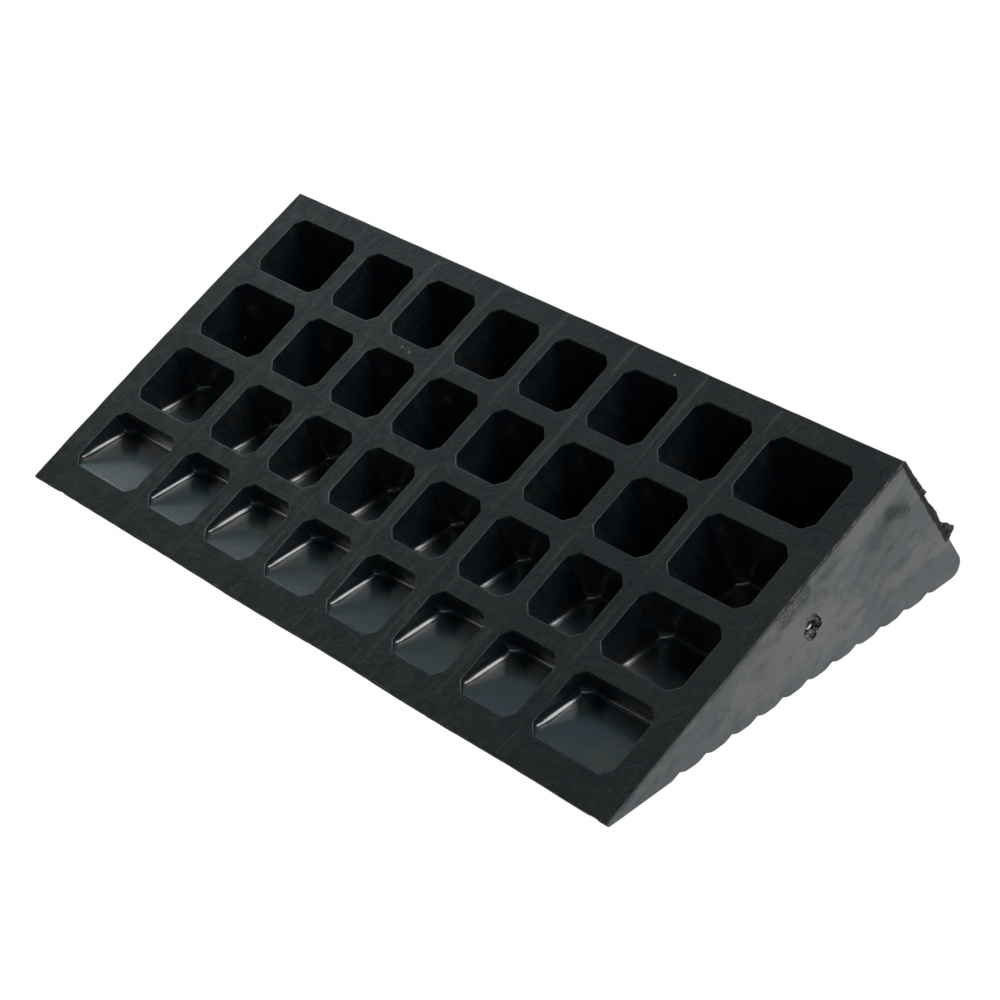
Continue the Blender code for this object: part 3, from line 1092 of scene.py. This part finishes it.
def make_camera():
    data = bpy.data.cameras.new("camera")
    data.lens = FOCAL_LENGTH
    data.sensor_width = SENSOR_WIDTH
    data.clip_start = 0.05
    data.clip_end = 50.0
    camera = link(bpy.data.objects.new("camera", data))
    back = CAMERA_RIGHT.cross(CAMERA_UP)
    basis = Matrix((CAMERA_RIGHT, CAMERA_UP, back)).transposed().to_4x4()
    basis.translation = CAMERA_PLACE
    camera.matrix_world = basis
    bpy.context.scene.camera = camera


def softbox(name, towards, size, radiance, colour=(1.0, 1.0, 1.0), distance=2.6):
    """A round lamp that faces the ramp. The radiance is how bright it looks in a mirror."""
    data = bpy.data.lights.new(name, "AREA")
    data.shape = "DISK"
    data.size = size
    data.energy = radiance * math.pi * math.pi * size * size / 4
    data.color = colour
    lamp = link(bpy.data.objects.new(name, data))
    direction = Vector(towards).normalized()
    lamp.location = direction * distance
    lamp.rotation_mode = "QUATERNION"
    lamp.rotation_quaternion = direction.to_track_quat("Z", "Y")
    lamp.visible_camera = False


def make_lights():
    softbox("key", (-0.40, 0.71, -0.58), 1.7, 8.8, (1.0, 0.99, 0.97))
    softbox("end_panel", (-0.659, 0.262, 0.705), 2.0, 1.60)
    softbox("far_side", (0.72, 0.60, -0.36), 3.0, 0.27, (0.72, 0.94, 1.0))
    softbox("far_low_sun", (0.84, 0.46, -0.04), 1.2, 3.8, (0.85, 0.97, 1.0))
    softbox("far_low", (0.75, 0.10, -0.65), 1.6, 0.22, (0.85, 0.97, 1.0))
    softbox("camera_side", (-0.75, -0.25, -0.60), 1.6, 1.25, (0.80, 0.94, 1.0))
    softbox("front_far", (0.70, -0.52, -0.47), 1.0, 2.6)
    softbox("top", (0.25, -0.35, 0.90), 1.6, 3.0)


def make_world():
    """White to the camera. To the ramp, a dim room that is lighter overhead."""
    world = bpy.data.worlds.new("studio")
    world.use_nodes = True
    nodes, links = world.node_tree.nodes, world.node_tree.links
    nodes.clear()
    out = nodes.new("ShaderNodeOutputWorld")
    mix = nodes.new("ShaderNodeMixShader")
    path = nodes.new("ShaderNodeLightPath")
    seen = nodes.new("ShaderNodeBackground")
    lit = nodes.new("ShaderNodeBackground")
    seen.inputs["Color"].default_value = (1, 1, 1, 1)
    lit.inputs["Color"].default_value = (0.86, 0.96, 1.0, 1)
    coords = nodes.new("ShaderNodeTexCoord")
    split = nodes.new("ShaderNodeSeparateXYZ")
    rise = nodes.new("ShaderNodeMapRange")
    rise.interpolation_type = "SMOOTHSTEP"
    limits = {"From Min": -0.5, "From Max": 0.6, "To Min": 0.045, "To Max": 0.55}
    for name, number in limits.items():
        rise.inputs[name].default_value = number
    links.new(coords.outputs["Generated"], split.inputs[0])
    links.new(split.outputs["Z"], rise.inputs["Value"])
    links.new(rise.outputs["Result"], lit.inputs["Strength"])
    links.new(path.outputs["Is Camera Ray"], mix.inputs[0])
    links.new(lit.outputs[0], mix.inputs[1])
    links.new(seen.outputs[0], mix.inputs[2])
    links.new(mix.outputs[0], out.inputs["Surface"])
    bpy.context.scene.world = world


def make_floor():
    """A pale floor that the ramp stands on, fading to the white backdrop.

    It shows from above only, and lights and reflects nothing.
    """
    bm = bmesh.new()
    reach = 12.0
    corners = [(-reach, -reach, 0), (reach, -reach, 0), (reach, reach, 0), (-reach, reach, 0)]
    bm.faces.new([bm.verts.new(corner) for corner in corners])
    mesh = bpy.data.meshes.new("floor")
    bm.to_mesh(mesh)
    bm.free()
    floor = link(bpy.data.objects.new("floor", mesh))
    s = Surface("pale_floor")
    tone = s.map(s.noise(3, 3), 0.3, 0.7)
    s.set("Base Color", s.mix(tone, (0.80, 0.80, 0.80), (0.83, 0.83, 0.825)))
    s.set("Roughness", 0.9)
    nodes = s.tree.nodes
    white = nodes.new("ShaderNodeEmission")
    fade = nodes.new("ShaderNodeMixShader")
    s.put(fade.inputs[0], s.map(s.vector("LENGTH", s.place), 0.5, 2.2))
    s.put(fade.inputs[1], s.shader.outputs[0])
    s.put(fade.inputs[2], white.outputs[0])
    one_sided = nodes.new("ShaderNodeMixShader")
    s.put(one_sided.inputs[0], nodes.new("ShaderNodeNewGeometry").outputs["Backfacing"])
    s.put(one_sided.inputs[1], fade.outputs[0])
    s.put(one_sided.inputs[2], nodes.new("ShaderNodeBsdfTransparent").outputs[0])
    s.put(nodes["Material Output"].inputs["Surface"], one_sided.outputs[0])
    mesh.materials.append(s.material)
    floor.visible_shadow = False
    floor.visible_diffuse = False
    floor.visible_glossy = False
    floor.visible_transmission = False
    floor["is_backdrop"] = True


def main():
    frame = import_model()
    layout = Layout(frame["nodes"])
    bpy.context.scene.view_settings.view_transform = "Standard"
    make_camera()
    make_world()
    make_lights()
    make_floor()

    # The fins are pale right through. The hole's torn mouth has a dark rim of painted shade and is
    # paler inside.
    fin_rubber = torn_rubber("rubber_torn_fin", TORN_FIN, -layout.half - 0.0010)
    mouth_rubber = torn_rubber("rubber_torn_open", TORN_OPEN, -layout.half)
    rubbers = [
        base_rubber(layout), pocket_rubber(), skin_rubber(), end_rubber(layout), mouth_rubber,
    ]
    moulding = make_moulding(layout, rubbers)
    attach(moulding, "ramp")
    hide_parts(*[name for name in frame["nodes"] if name != "link_pin"])
    for fin in make_flash(layout, fin_rubber):
        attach(fin, "ramp")
    pin = make_link_pin(layout, zinc_plate(layout))
    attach(pin, "link_pin")
    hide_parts("link_pin")


main()
